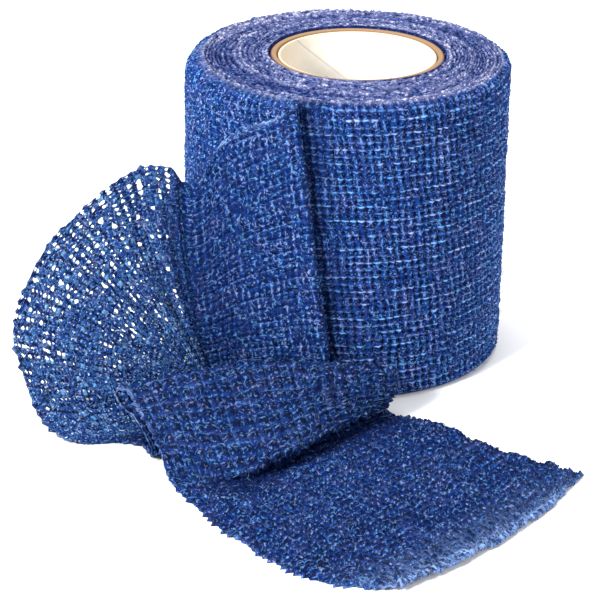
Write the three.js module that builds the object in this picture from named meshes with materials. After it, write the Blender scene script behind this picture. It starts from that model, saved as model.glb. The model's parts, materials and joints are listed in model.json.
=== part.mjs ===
// Cohesive bandage roll, 50 mm wide, standing on its end with a loose tail of tape.
// Millimetres, +Z up. The roll's axis is vertical and the tail lies in front of it, towards -Y.

import * as THREE from 'three';

// Wound roll
const ROLL_HEIGHT = 50.4;
const ROLL_RADIUS = 26.0;
const WOUND_LAYER = 1.0;
const ROLL_RIM = 1.3;
const RIM_TURNS = [0, 30, 60, 90];
const SLOUCH = 1.6;
const SLOUCH_NARROWING = 3;
const SLOUCH_SIDE = THREE.MathUtils.degToRad(186);
const ROLL_SIDES = 72;

// Core: a cardboard tube with a white paper liner, a little off the roll's middle
const CORE_CENTRE = new THREE.Vector2(1.3, 1.5);
const CORE_RADIUS = 14.35;
const CORE_BORE = 13.35;
const CORE_TOP = 50.1;
const LINER_BORE = 12.7;
const LINER_TOP = 49.9;
const CORE_LIFT = 0.3;
const CORE_EASE = 0.09;
const CORE_SIDES = 56;

// Tape of the loose end
const TAPE_THICKNESS = 1.0;
const TAPE_STRIPS = 12;

// Clearance between neighbouring pieces
const GAP = 0.3;

// The fold line on the roll's front, where the outer turn is folded back on itself
const FOLD_TOP = { x: -8.0, z: 51.2 };
const FOLD_BOTTOM = { x: -1.2, z: 0.6 };
const FOLD_RADIUS = 0.75;
const FOLD_TURNS = [-90, -40, 0, 40, 90];
const FOLD_OVER = 90;
const UNDER_RADIUS = ROLL_RADIUS + GAP + TAPE_THICKNESS / 2;
const STEP_SETBACK = FOLD_RADIUS + TAPE_THICKNESS / 2 + GAP;

// Soft ripples that run from the pinched inner selvage to the lobe's outer edge
const RIPPLE_DEPTH = 0.75;
const RIPPLE_COUNT = 5;

function foldX(z) {
  const share = (z - FOLD_BOTTOM.z) / (FOLD_TOP.z - FOLD_BOTTOM.z);
  return THREE.MathUtils.lerp(FOLD_BOTTOM.x, FOLD_TOP.x, share);
}

// A point on a cylinder round the roll's axis, on the front, at x and height z
function onFront(x, z, radius) {
  return new THREE.Vector3(x, -Math.sqrt(radius * radius - x * x), z);
}

function meshFrom(name, positions, triangles, material) {
  const geometry = new THREE.BufferGeometry();
  geometry.setAttribute('position', new THREE.Float32BufferAttribute(positions, 3));
  geometry.setIndex(triangles);
  geometry.computeVertexNormals();
  const mesh = new THREE.Mesh(geometry, material);
  mesh.name = name;
  return mesh;
}

// The top rim is rounder on the left, where the outer turns have slipped down a little
function topRim(angle) {
  return ROLL_RIM + SLOUCH * (0.5 + 0.5 * Math.cos(angle - SLOUCH_SIDE)) ** SLOUCH_NARROWING;
}

// Wound roll: rings from the bore over the bottom, side and top, and back to the bore.
// Each outer ring starts and ends at the step where the outer turn has been peeled away.
function woundRoll(material) {
  const rings = [{ bore: true, z: 0 }];
  for (const degrees of RIM_TURNS) {
    const turn = THREE.MathUtils.degToRad(degrees);
    rings.push({ inset: ROLL_RIM * (1 - Math.sin(turn)), z: ROLL_RIM * (1 - Math.cos(turn)) });
  }
  rings.push({ inset: 0, z: ROLL_HEIGHT / 2 });
  for (const degrees of RIM_TURNS) {
    const turn = THREE.MathUtils.degToRad(90 - degrees);
    rings.push({ topInset: 1 - Math.sin(turn), topDrop: 1 - Math.cos(turn) });
  }
  rings.push({ bore: true, z: ROLL_HEIGHT });

  const positions = [];
  const boreRadius = CORE_RADIUS + GAP;
  for (const ring of rings) {
    const stepX = foldX(ring.z ?? ROLL_HEIGHT) - STEP_SETBACK;
    const start = Math.atan2(-Math.sqrt(ROLL_RADIUS ** 2 - stepX ** 2), stepX);
    for (let i = 0; i <= ROLL_SIDES; i += 1) {
      const share = i / ROLL_SIDES;
      const angle = start + share * 2 * Math.PI;
      const rim = topRim(angle);
      const inset = ring.inset ?? rim * ring.topInset;
      const height = ring.z ?? ROLL_HEIGHT - rim * ring.topDrop;
      const radius = ring.bore ? boreRadius : ROLL_RADIUS + WOUND_LAYER * share - inset;
      const centre = ring.bore ? CORE_CENTRE : new THREE.Vector2();
      positions.push(centre.x + radius * Math.cos(angle), centre.y + radius * Math.sin(angle), height);
    }
  }

  const triangles = [];
  const row = ROLL_SIDES + 1;
  const corner = (ring, i) => (rings[ring].bore ? ring * row + (i % ROLL_SIDES) : ring * row + i);
  const face = (a, b, c) => {
    if (a !== b && b !== c && a !== c) triangles.push(a, b, c);
  };
  for (let ring = 0; ring < rings.length; ring += 1) {
    const next = (ring + 1) % rings.length;
    for (let i = 0; i <= ROLL_SIDES; i += 1) {
      const after = (i + 1) % row;
      const a = corner(ring, i);
      const b = corner(ring, after);
      const c = corner(next, after);
      const d = corner(next, i);
      face(a, b, c);
      face(a, c, d);
    }
  }
  return meshFrom('wound_roll', positions, triangles, material);
}

// A plain tube with slightly eased rims, as a closed lathe profile
function sleeve(name, outer, bore, bottom, top, material) {
  const profile = [
    new THREE.Vector2(bore + CORE_EASE, bottom),
    new THREE.Vector2(outer - CORE_EASE, bottom),
    new THREE.Vector2(outer, bottom + CORE_EASE),
    new THREE.Vector2(outer, top - CORE_EASE),
    new THREE.Vector2(outer - CORE_EASE, top),
    new THREE.Vector2(bore + CORE_EASE, top),
    new THREE.Vector2(bore, top - CORE_EASE),
    new THREE.Vector2(bore, bottom + CORE_EASE),
    new THREE.Vector2(bore + CORE_EASE, bottom),
  ];
  const geometry = new THREE.LatheGeometry(profile, CORE_SIDES);
  geometry.rotateX(Math.PI / 2);
  const mesh = new THREE.Mesh(geometry, material);
  mesh.name = name;
  mesh.position.set(CORE_CENTRE.x, CORE_CENTRE.y, 0);
  return mesh;
}

// Ribs of the folded edge: under the fold, round it and back over the roll, to the left
function foldRibs() {
  const over = UNDER_RADIUS + 2 * FOLD_RADIUS;
  const middle = UNDER_RADIUS + FOLD_RADIUS;
  const ribs = [];
  for (const degrees of FOLD_TURNS) {
    const turn = THREE.MathUtils.degToRad(degrees);
    const setback = FOLD_RADIUS + TAPE_THICKNESS / 2 - FOLD_RADIUS * Math.cos(turn);
    const radius = degrees === FOLD_OVER ? over : middle + FOLD_RADIUS * Math.sin(turn);
    const rib = [FOLD_BOTTOM.z, (FOLD_BOTTOM.z + FOLD_TOP.z) / 2, FOLD_TOP.z].map(
      (z) => onFront(foldX(z) - setback, z, radius)
    );
    ribs.push({ points: rib, steps: 1, ripple: 0 });
  }
  return ribs;
}

// Ribs of the tape from the fold to the cut end: inner selvage, middle and outer selvage.
// The inner selvage is the one that stood on the table; the outer one runs round the lobe.
// Quarter points are given only where a rib doesn't bend evenly.
const RIBS = [
  // flap that lies back over the roll
  { inner: [-5.2, -27.8, 0.7], middle: [-8.6, -26.9, 25.2], outer: [-11.8, -25.8, 48.7], steps: 2 },
  { inner: [-11.0, -26.2, 0.8], middle: [-14.0, -25.0, 22.8], outer: [-17.2, -22.6, 45.4], steps: 2 },
  { inner: [-16.2, -24.6, 1.0], middle: [-18.8, -23.0, 20.0], outer: [-21.0, -19.2, 41.2], steps: 2 },
  // neck, where the tape is drawn together
  { inner: [-19.4, -25.0, 1.2], middle: [-22.2, -22.4, 17.4], outer: [-23.8, -18.0, 35.0], steps: 2 },
  { inner: [-20.4, -26.0, 1.3], middle: [-24.6, -22.6, 17.0], outer: [-26.3, -17.6, 34.3], steps: 1 },
  // sheer lobe that swings round to the table
  { inner: [-20.8, -26.4, 1.4], middle: [-26.0, -22.8, 18.2], outer: [-28.4, -17.6, 36.6], steps: 2 },
  {
    inner: [-21.0, -26.8, 1.5], middle: [-28.4, -23.6, 19.2], outer: [-33.2, -18.0, 36.9],
    steps: 3, ripple: 1,
  },
  {
    inner: [-21.3, -27.2, 1.6], middle: [-33.0, -25.6, 19.6], outer: [-42.2, -21.0, 31.4],
    steps: 3, ripple: 1,
  },
  {
    inner: [-21.4, -27.7, 1.7], middle: [-36.6, -28.6, 15.6], outer: [-49.6, -25.8, 23.4],
    steps: 3, ripple: 1,
  },
  {
    inner: [-21.4, -28.2, 1.6], middle: [-38.0, -31.6, 10.4], outer: [-53.1, -31.4, 14.6],
    steps: 3, ripple: 1,
  },
  {
    inner: [-21.1, -28.8, 1.4], middle: [-36.6, -34.8, 5.4], outer: [-50.8, -37.6, 7.8],
    steps: 2, ripple: 1,
  },
  {
    inner: [-20.4, -29.6, 1.1], middle: [-34.0, -36.6, 2.2], outer: [-46.6, -41.9, 1.9],
    steps: 2, ripple: 0.4,
  },
  { inner: [-17.0, -30.6, 0.6], middle: [-29.6, -37.8, 0.8], outer: [-41.6, -44.5, 0.6], steps: 2 },
  // table layer and the hidden turn under the pleat
  { inner: [-2.0, -30.9, 0.55], middle: [-18.0, -37.6, 0.55], outer: [-36.6, -43.9, 0.55], steps: 2 },
  { inner: [2.0, -31.0, 0.55], middle: [-15.6, -38.6, 0.55], outer: [-32.6, -44.7, 0.55], steps: 1 },
  { inner: [4.6, -31.1, 0.55], middle: [-13.8, -40.2, 0.55], outer: [-30.8, -48.0, 0.55], steps: 1 },
  { inner: [5.7, -31.0, 1.35], middle: [-13.0, -40.9, 1.35], outer: [-30.0, -50.2, 1.3], steps: 1 },
  { inner: [5.0, -30.4, 2.2], middle: [-13.6, -40.0, 2.2], outer: [-31.0, -47.4, 2.1], steps: 2 },
  // pleat that rises, turns over at its crest and leans forward
  { inner: [5.8, -29.8, 4.0], middle: [-14.6, -36.2, 4.6], outer: [-33.4, -42.4, 3.7], steps: 2 },
  { inner: [7.2, -29.4, 6.2], middle: [-15.0, -32.8, 7.4], outer: [-36.4, -38.8, 4.8], steps: 1 },
  { inner: [8.2, -29.6, 7.5], middle: [-14.4, -32.0, 8.8], outer: [-36.9, -37.7, 5.9], steps: 1 },
  { inner: [8.9, -30.8, 7.2], middle: [-13.8, -33.6, 9.4], outer: [-35.6, -38.4, 6.9], steps: 2 },
  { inner: [9.0, -32.0, 5.8], middle: [-12.4, -39.8, 7.4], outer: [-32.5, -43.0, 5.2], steps: 2 },
  {
    inner: [8.4, -33.2, 4.4], innerQuarter: [-1.3, -39.6, 5.4], middle: [-10.6, -46.6, 5.4],
    outerQuarter: [-20.8, -49.4, 4.7], outer: [-30.3, -47.6, 3.9], steps: 2,
  },
  // bulging front edge of the pleat and the tuck below it
  {
    inner: [7.6, -33.9, 3.7], innerQuarter: [-0.8, -41.6, 4.1], middle: [-9.1, -50.8, 3.9],
    outerQuarter: [-18.9, -54.6, 3.3], outer: [-29.0, -51.4, 3.1], steps: 1,
  },
  {
    inner: [7.0, -34.0, 3.0], innerQuarter: [-0.7, -42.3, 3.2], middle: [-8.7, -52.4, 3.0],
    outerQuarter: [-18.1, -56.8, 2.2], outer: [-28.1, -54.2, 2.2], steps: 1,
  },
  {
    inner: [6.8, -33.6, 2.3], innerQuarter: [-1.0, -41.8, 2.4], middle: [-9.0, -51.6, 2.15],
    outerQuarter: [-17.8, -57.6, 1.5], outer: [-27.6, -55.8, 1.4], steps: 1,
  },
  {
    inner: [7.0, -33.0, 1.9], innerQuarter: [-1.4, -40.2, 2.0], middle: [-10.2, -47.6, 1.9],
    outerQuarter: [-17.4, -58.2, 1.0], outer: [-27.0, -57.2, 0.9], steps: 1,
  },
  {
    inner: [7.6, -32.4, 1.3], innerQuarter: [-1.4, -39.2, 1.3], middle: [-11.0, -45.4, 1.25],
    outerQuarter: [-16.8, -58.8, 0.7], outer: [-26.2, -58.8, 0.6], steps: 1,
  },
  {
    inner: [8.9, -32.2, 0.6], innerQuarter: [-0.4, -40.0, 0.55], middle: [-10.0, -46.8, 0.5],
    outerQuarter: [-16.0, -59.4, 0.5], outer: [-25.2, -60.8, 0.5], steps: 2,
  },
  // strip on the table, to the cut end
  { inner: [14.0, -33.0, 0.5], middle: [-3.6, -52.0, 0.5], outer: [-21.2, -68.2, 0.5], steps: 3 },
  { inner: [21.2, -39.8, 0.5], middle: [3.6, -59.8, 0.5], outer: [-14.2, -78.6, 0.5], steps: 3 },
  { inner: [28.4, -46.4, 0.5], middle: [11.2, -67.0, 0.5], outer: [-6.6, -85.9, 0.5], steps: 2 },
  { inner: [34.4, -49.4, 0.5], middle: [19.4, -71.0, 0.6], outer: [1.8, -89.6, 0.8], steps: 2 },
  { inner: [37.2, -51.4, 0.7], middle: [24.5, -72.9, 1.0], outer: [7.6, -90.2, 1.5], steps: 0 },
];

function tailRibs() {
  const vector = (point) => (point ? new THREE.Vector3(...point) : undefined);
  const ribs = foldRibs();
  for (const rib of RIBS) {
    const points = [rib.inner, rib.middle, rib.outer].map(vector);
    const quarters = [vector(rib.innerQuarter), vector(rib.outerQuarter)];
    ribs.push({ points, quarters, steps: rib.steps, ripple: rib.ripple ?? 0 });
  }
  return ribs;
}

// The even bend through a rib's three points; share runs from the inner to the outer selvage
function evenBend([inner, middle, outer], share) {
  const point = new THREE.Vector3();
  point.addScaledVector(inner, (1 - share) * (1 - 2 * share));
  point.addScaledVector(middle, 4 * share * (1 - share));
  point.addScaledVector(outer, share * (2 * share - 1));
  return point;
}

// A rib as one smooth line through both selvages, its quarters and its middle
function ribLine(rib) {
  const [inner, middle, outer] = rib.points;
  const [innerQuarter, outerQuarter] = rib.quarters ?? [];
  const knots = [
    inner,
    innerQuarter ?? evenBend(rib.points, 0.25),
    middle,
    outerQuarter ?? evenBend(rib.points, 0.75),
    outer,
  ];
  return new THREE.CatmullRomCurve3(knots, false, 'catmullrom', 0.5);
}

// Middle surface of the tape: one smooth line along the tape for each share of its width
function tapeGrid(ribs) {
  const stations = [];
  ribs.forEach((rib, index) => {
    for (let step = 0; step < rib.steps; step += 1) {
      const part = step / rib.steps;
      const next = ribs[Math.min(index + 1, ribs.length - 1)];
      stations.push({ at: index + part, ripple: THREE.MathUtils.lerp(rib.ripple, next.ripple, part) });
    }
  });
  stations.push({ at: ribs.length - 1, ripple: 0 });

  const crossLines = ribs.map(ribLine);
  const lines = [];
  for (let strip = 0; strip <= TAPE_STRIPS; strip += 1) {
    const share = strip / TAPE_STRIPS;
    const knots = crossLines.map((line) => line.getPoint(share));
    lines.push(new THREE.CatmullRomCurve3(knots, false, 'centripetal'));
  }
  const rippled = stations.filter((station) => station.ripple > 0);
  const first = rippled[0].at;
  const last = rippled[rippled.length - 1].at;
  const grid = stations.map((station) => lines.map((line) => line.getPoint(station.at / (ribs.length - 1))));
  const normals = gridNormals(grid);
  stations.forEach((station, i) => {
    const wave = Math.sin((RIPPLE_COUNT * 2 * Math.PI * (station.at - first)) / (last - first));
    for (let strip = 0; strip <= TAPE_STRIPS; strip += 1) {
      const reach = Math.sin((Math.PI * strip) / TAPE_STRIPS);
      grid[i][strip].addScaledVector(normals[i][strip], RIPPLE_DEPTH * station.ripple * wave * reach);
    }
  });
  return grid;
}

function gridNormals(grid) {
  return grid.map((line, i) => line.map((point, j) => {
    const ahead = grid[Math.min(i + 1, grid.length - 1)][j];
    const behind = grid[Math.max(i - 1, 0)][j];
    const out = line[Math.min(j + 1, line.length - 1)];
    const inward = line[Math.max(j - 1, 0)];
    const along = new THREE.Vector3().subVectors(ahead, behind);
    const across = new THREE.Vector3().subVectors(out, inward);
    return along.cross(across).normalize();
  }));
}

// The loose end: the middle surface given its thickness, closed along both selvages and both ends
function looseEnd(material) {
  const grid = tapeGrid(tailRibs());
  const normals = gridNormals(grid);
  const columns = TAPE_STRIPS + 1;
  const layer = grid.length * columns;
  const positions = [];
  for (const side of [1, -1]) {
    grid.forEach((line, i) => line.forEach((point, j) => {
      const skin = point.clone().addScaledVector(normals[i][j], (side * TAPE_THICKNESS) / 2);
      positions.push(skin.x, skin.y, Math.max(skin.z, 0));
    }));
  }
  const triangles = [];
  const quad = (a, b, c, d) => triangles.push(a, b, c, a, c, d);
  for (let i = 0; i + 1 < grid.length; i += 1) {
    const here = i * columns;
    const next = here + columns;
    for (let j = 0; j < TAPE_STRIPS; j += 1) {
      quad(here + j, next + j, next + j + 1, here + j + 1);
      quad(layer + here + j, layer + here + j + 1, layer + next + j + 1, layer + next + j);
    }
    quad(here, layer + here, layer + next, next);
    quad(here + TAPE_STRIPS, next + TAPE_STRIPS, layer + next + TAPE_STRIPS, layer + here + TAPE_STRIPS);
  }
  const end = (grid.length - 1) * columns;
  for (let j = 0; j < TAPE_STRIPS; j += 1) {
    quad(j, j + 1, layer + j + 1, layer + j);
    quad(end + j, layer + end + j, layer + end + j + 1, end + j + 1);
  }
  return meshFrom('loose_end', positions, triangles, material);
}

const tapeBlue = new THREE.MeshStandardMaterial({ color: 0x24489f, roughness: 0.92, metalness: 0 });
const sheerBlue = new THREE.MeshStandardMaterial({ color: 0x2a52a8, roughness: 0.92, metalness: 0 });
const cardboard = new THREE.MeshStandardMaterial({ color: 0xb08a62, roughness: 0.95, metalness: 0 });
const whitePaper = new THREE.MeshStandardMaterial({ color: 0xf3f0e8, roughness: 0.7, metalness: 0 });

const roll = new THREE.Group();
roll.add(woundRoll(tapeBlue));
roll.add(looseEnd(sheerBlue));
roll.add(sleeve('core_tube', CORE_RADIUS, CORE_BORE, CORE_LIFT, CORE_TOP, cardboard));
roll.add(sleeve('core_liner', CORE_BORE - GAP, LINER_BORE, CORE_LIFT, LINER_TOP, whitePaper));

// The origin is under the middle of the whole part's bounding box, on the table
const box = new THREE.Box3().setFromObject(roll);
const centre = box.getCenter(new THREE.Vector3());
roll.position.set(-centre.x, -centre.y, -box.min.z);

export default roll;
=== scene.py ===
import json
import math

import bpy
import numpy as np
from bpy.props import FloatProperty, FloatVectorProperty, IntProperty, PointerProperty
from mathutils import Color, Matrix, Vector

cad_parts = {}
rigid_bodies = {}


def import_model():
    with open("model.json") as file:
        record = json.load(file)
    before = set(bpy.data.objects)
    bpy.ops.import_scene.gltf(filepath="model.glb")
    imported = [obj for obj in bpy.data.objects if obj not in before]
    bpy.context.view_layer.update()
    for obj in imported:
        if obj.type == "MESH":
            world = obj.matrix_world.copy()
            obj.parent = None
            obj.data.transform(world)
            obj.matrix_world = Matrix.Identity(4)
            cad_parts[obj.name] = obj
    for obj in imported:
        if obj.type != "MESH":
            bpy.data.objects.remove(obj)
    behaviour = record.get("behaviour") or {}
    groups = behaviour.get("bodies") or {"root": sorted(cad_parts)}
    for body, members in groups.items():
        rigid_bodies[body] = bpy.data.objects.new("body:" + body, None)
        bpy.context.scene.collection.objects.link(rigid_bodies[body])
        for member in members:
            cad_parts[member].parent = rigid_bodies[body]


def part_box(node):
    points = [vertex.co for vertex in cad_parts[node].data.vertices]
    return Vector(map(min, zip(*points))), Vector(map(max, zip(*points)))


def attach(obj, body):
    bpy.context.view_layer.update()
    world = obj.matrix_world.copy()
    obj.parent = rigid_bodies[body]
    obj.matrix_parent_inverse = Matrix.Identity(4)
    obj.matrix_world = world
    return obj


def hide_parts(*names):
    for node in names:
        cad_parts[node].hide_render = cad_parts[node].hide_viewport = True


bl_info = {
    "name": "Cohesive bandage roll",
    "version": (1, 0, 0),
    "blender": (4, 5, 0),
    "location": "View3D > Sidebar > Bandage",
    "description": "Crepe tape wound on a lined core, with its loose end folded, fanned and pleated",
    "category": "Object",
}

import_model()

# Lengths are millimetres from the foot of the roll's own axis. MM turns them into metres.
MM = 0.001

# The wound roll, whose core sits a little off its middle and whose top rim slouches on one side
CORE_LOW, CORE_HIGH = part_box("core_tube")
CORE_OFFSET = (1.3, 1.5)
ROLL_AXIS = (
    (CORE_LOW.x + CORE_HIGH.x) / 2 / MM - CORE_OFFSET[0],
    (CORE_LOW.y + CORE_HIGH.y) / 2 / MM - CORE_OFFSET[1],
)
ROLL_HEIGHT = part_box("wound_roll")[1].z / MM
ROLL_RADIUS = 26.0
WOUND_LAYER = 1.0
BORE_RADIUS = 14.65
RIM = 1.3
SLOUCH = 1.6
SLOUCH_SIDE = math.radians(186)
SLOUCH_REACH = 6.0
SHOULDER_FOOT = ROLL_HEIGHT - RIM - SLOUCH

# The roll's rings under its foot and round the foot's edge, up the shoulder and over the top, how far the top's
# turns may stand proud, and the grid's steps to each rib and thread
FOOT_INSET = 4.0
FOOT_TURNS = (0, 30, 60)
SHOULDER_RINGS = 6
TOP_WIDTH = 12.2
TOP_ROW = 0.19
TOP_PROUD = 0.35
COLUMNS_PER_RIB = 4
ROWS_PER_THREAD = 3

# The card tube and its lining, with the height that one step of their UV maps takes
CARD_BORE = 13.35
LINING_BORE = 12.7
SLEEVE_SIDES = 160
SLEEVE_CREASE = math.radians(50)
SLEEVE_MAP_HEIGHT = 60

# Where the outermost turn is folded back on itself, as a slanting line on the roll's front
FOLD_TOP = {"x": -8.0, "z": 51.2}
FOLD_BOTTOM = {"x": -1.2, "z": 0.6}
FOLD_RADIUS = 0.75
FOLD_TURNS = (-90, -40, 0, 40, 90)
FOLD_HALF = 0.5
UNDER_RADIUS = 26.8
STEP_SETBACK = 1.55

# Ribs of the loose tape from the fold to the cut end, each from the inner to the outer selvage:
# both ends and the middle, and the quarter points too where a rib doesn't bend evenly
RIBS = (
    # flap over the roll
    ((-5.2, -27.8, 0.7), (-8.6, -26.9, 25.2), (-11.8, -25.8, 48.7)),
    ((-11.0, -26.2, 0.8), (-14.0, -25.0, 22.8), (-17.2, -22.6, 45.4)),
    ((-16.2, -24.6, 1.0), (-18.8, -23.0, 20.0), (-21.0, -19.2, 41.2)),
    # neck
    ((-19.4, -25.0, 1.2), (-22.2, -22.4, 17.4), (-23.8, -18.0, 35.0)),
    ((-20.4, -26.0, 1.3), (-24.6, -22.6, 17.0), (-26.3, -17.6, 34.3)),
    # sheer lobe
    ((-20.8, -26.4, 1.4), (-26.0, -22.8, 18.2), (-28.4, -17.6, 36.6)),
    ((-21.0, -26.8, 1.5), (-28.4, -23.6, 19.2), (-33.2, -18.0, 36.9)),
    ((-21.3, -27.2, 1.6), (-33.0, -25.6, 19.6), (-42.2, -21.0, 31.4)),
    ((-21.4, -27.7, 1.7), (-36.6, -28.6, 15.6), (-49.6, -25.8, 23.4)),
    ((-21.4, -28.2, 1.6), (-38.0, -31.6, 10.4), (-53.1, -31.4, 14.6)),
    ((-21.1, -28.8, 1.4), (-36.6, -34.8, 5.4), (-50.8, -37.6, 7.8)),
    ((-20.4, -29.6, 1.1), (-34.0, -36.6, 2.2), (-46.6, -41.9, 1.9)),
    ((-17.0, -30.6, 0.6), (-29.6, -37.8, 0.8), (-41.6, -44.5, 0.6)),
    # table layer and the turn under the pleat
    ((-2.0, -30.9, 0.55), (-18.0, -37.6, 0.55), (-36.6, -43.9, 0.55)),
    ((2.0, -31.0, 0.55), (-15.6, -38.6, 0.55), (-32.6, -44.7, 0.55)),
    ((4.6, -31.1, 0.55), (-13.8, -40.2, 0.55), (-30.8, -48.0, 0.55)),
    ((5.7, -31.0, 1.35), (-13.0, -40.9, 1.35), (-30.0, -50.2, 1.3)),
    ((5.0, -30.4, 2.2), (-13.6, -40.0, 2.2), (-31.0, -47.4, 2.1)),
    # pleat
    ((5.8, -29.8, 4.0), (-14.6, -36.2, 4.6), (-33.4, -42.4, 3.7)),
    ((7.2, -29.4, 6.2), (-15.0, -32.8, 7.4), (-36.4, -38.8, 4.8)),
    ((8.2, -29.6, 7.5), (-14.4, -32.0, 8.8), (-36.9, -37.7, 5.9)),
    ((8.9, -30.8, 7.2), (-13.8, -33.6, 9.4), (-35.6, -38.4, 6.9)),
    ((9.0, -32.0, 5.8), (-12.4, -39.8, 7.4), (-32.5, -43.0, 5.2)),
    ((8.4, -33.2, 4.4), (-1.3, -39.6, 5.4), (-10.6, -46.6, 5.4), (-20.8, -49.4, 4.7), (-30.3, -47.6, 3.9)),
    # bulging front edge and the tuck below it
    ((7.6, -33.9, 3.7), (-0.8, -41.6, 4.1), (-9.1, -50.8, 3.9), (-18.9, -54.6, 3.3), (-29.0, -51.4, 3.1)),
    ((7.0, -34.0, 3.0), (-0.7, -42.3, 3.2), (-8.7, -52.4, 3.0), (-18.1, -56.8, 2.2), (-28.1, -54.2, 2.2)),
    ((6.8, -33.6, 2.3), (-1.0, -41.8, 2.4), (-9.0, -51.6, 2.15), (-17.8, -57.6, 1.5), (-27.6, -55.8, 1.4)),
    ((7.0, -33.0, 1.9), (-1.4, -40.2, 2.0), (-10.2, -47.6, 1.9), (-17.4, -58.2, 1.0), (-27.0, -57.2, 0.9)),
    ((7.6, -32.4, 1.3), (-1.4, -39.2, 1.3), (-11.0, -45.4, 1.25), (-16.8, -58.8, 0.7), (-26.2, -58.8, 0.6)),
    ((8.9, -32.2, 0.6), (-0.4, -40.0, 0.55), (-10.0, -46.8, 0.5), (-16.0, -59.4, 0.5), (-25.2, -60.8, 0.5)),
    # strip on the table, to the cut end
    ((14.0, -33.0, 0.5), (-3.6, -52.0, 0.5), (-21.2, -68.2, 0.5)),
    ((21.2, -39.8, 0.5), (3.6, -59.8, 0.5), (-14.2, -78.6, 0.5)),
    ((28.4, -46.4, 0.5), (11.2, -67.0, 0.5), (-6.6, -85.9, 0.5)),
    ((34.4, -49.4, 0.5), (19.4, -71.0, 0.6), (1.8, -89.6, 0.8)),
    ((37.2, -51.4, 0.7), (24.5, -72.9, 1.0), (7.6, -90.2, 1.5)),
)

# Ribs that ripple, by their number from 0 in the table above, with each one's share of the depth
RIPPLED = {6: 1, 7: 1, 8: 1, 9: 1, 10: 1, 11: 0.4}
RIPPLE_DEPTH = 0.55
RIPPLE_COUNT = 5

# Steps along the tape, and shares of its width, by which its length is paced out in puckers
PACES = 3000
PACED_SHARES = (0.55, 0.75, 0.95)

# The parts of the loose tape. Ribs are counted from the fold's own first rib on.
TAPE_PARTS = (
    {"name": "tape_flap", "cloth": "crepe_flap", "ribs": (0, 9.5), "held": "folded", "rests_on": "roll_turns"},
    {"name": "tape_lobe", "cloth": "crepe_lobe", "ribs": (9.5, 18), "held": "stretched", "rests_on": "floor"},
    {"name": "tape_pleat", "cloth": "crepe_pleat", "ribs": (18, 32), "held": "folded", "rests_on": "floor"},
    {"name": "tape_strip", "cloth": "crepe_strip", "ribs": (32, 39), "held": "laid", "rests_on": "floor"},
)

# Zones along the loose tape, by the ribs where each starts, is full, fades and ends. The strip's doesn't fade,
# since its last two lie past the cut end.
ZONES = {
    "pale flap edge": (3, 4.5, 7, 9),
    "coarse flap": (4, 5, 8, 9),
    "flap's shadow": (5.5, 7.5, 9.5, 11.5),
    "long teeth": (9, 11, 18, 22),
    "sheer": (9.5, 12, 16.5, 18),
    "pale pleat edge": (21, 24, 26.5, 28.5),
    "coarse pleat": (22, 24, 32, 34),
    "tuck": (30.4, 31.2, 34.1, 35.1),
    "strip": (32.5, 34.5, 40, 41),
}

# Holes of the drawn out lobe: how likely one is in a weave cell, in a reach of ribs and a reach of the width,
# where a share past 1 never fades. The bands add to the lobe's chance, and the comb at its top edge stands alone.
LOBE = {"ribs": (9.6, 11.5, 16.2, 17.6), "width": (0.12, 0.5, 2, 3), "chance": 0.36, "most": 0.97}
HOLE_BANDS = (
    {"ribs": (10, 11, 14, 15.2), "width": (0.62, 0.8, 2, 3), "chance": 0.52},
    {"ribs": (10.8, 11.8, 14.2, 15), "width": (0.3, 0.38, 0.5, 0.6), "chance": 0.4},
    {"ribs": (12.2, 13.2, 40, 41), "width": (0.46, 0.54, 0.64, 0.72), "chance": -0.32},
)
COMB = {"ribs": (9.7, 10.1, 12, 12.8), "width": (0.78, 0.88, 2, 3), "chance": 0.72}

# How likely two holes side by side are to be joined
JOINED_HOLES = 0.05

# Quads of the loose tape's grid along each side of a weave cell
QUADS = 4

# Seeds of the roll's weave, the loose tape's, and the coarse weave on its pleat
ROLL_SEED = 11
TAPE_SEED = 31
COARSE_SEED = 61

# A loose fibre, its least and most tilt and scale, and the fibres' seeds
FIBRE = {"length": 1.2, "radius": 0.04, "taper": 0.55, "bow": 0.28, "rings": 4, "sides": 3}
FIBRE_TILT = ((-0.5, -0.55, -math.pi), (0.5, 0.35, math.pi))
FIBRE_SCALE = (0.45, 1.25)
ROLL_FIBRE_SEED = 5
TAPE_FIBRE_SEED = 9

# Lowest height of the cloth's upper and lower skins and of a fibre, so that none dips into the table
UPPER_SKIN_LOW = 0.03
LOWER_SKIN_LOW = 0.01
FIBRE_LOW = 0.02

# Small touches of colour
# The lilac filament also stands in for painted highlights on the crests and in the flecks
LILAC_FILAMENT = (0.31, 0.42, 0.78)
# The film's glint is painted light shining through the thin film
FILM_GLINT = (0.55, 0.72, 0.86)
TURN_GLINT = (0.54, 0.53, 0.65)
RED_CARD = (0.3, 0.12, 0.05)
CARD_PLY = (0.16, 0.045, 0.03)
BRIGHT_PAPER = (0.84, 0.82, 0.78)
SEAM_GREY = (0.2, 0.18, 0.16)

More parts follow.
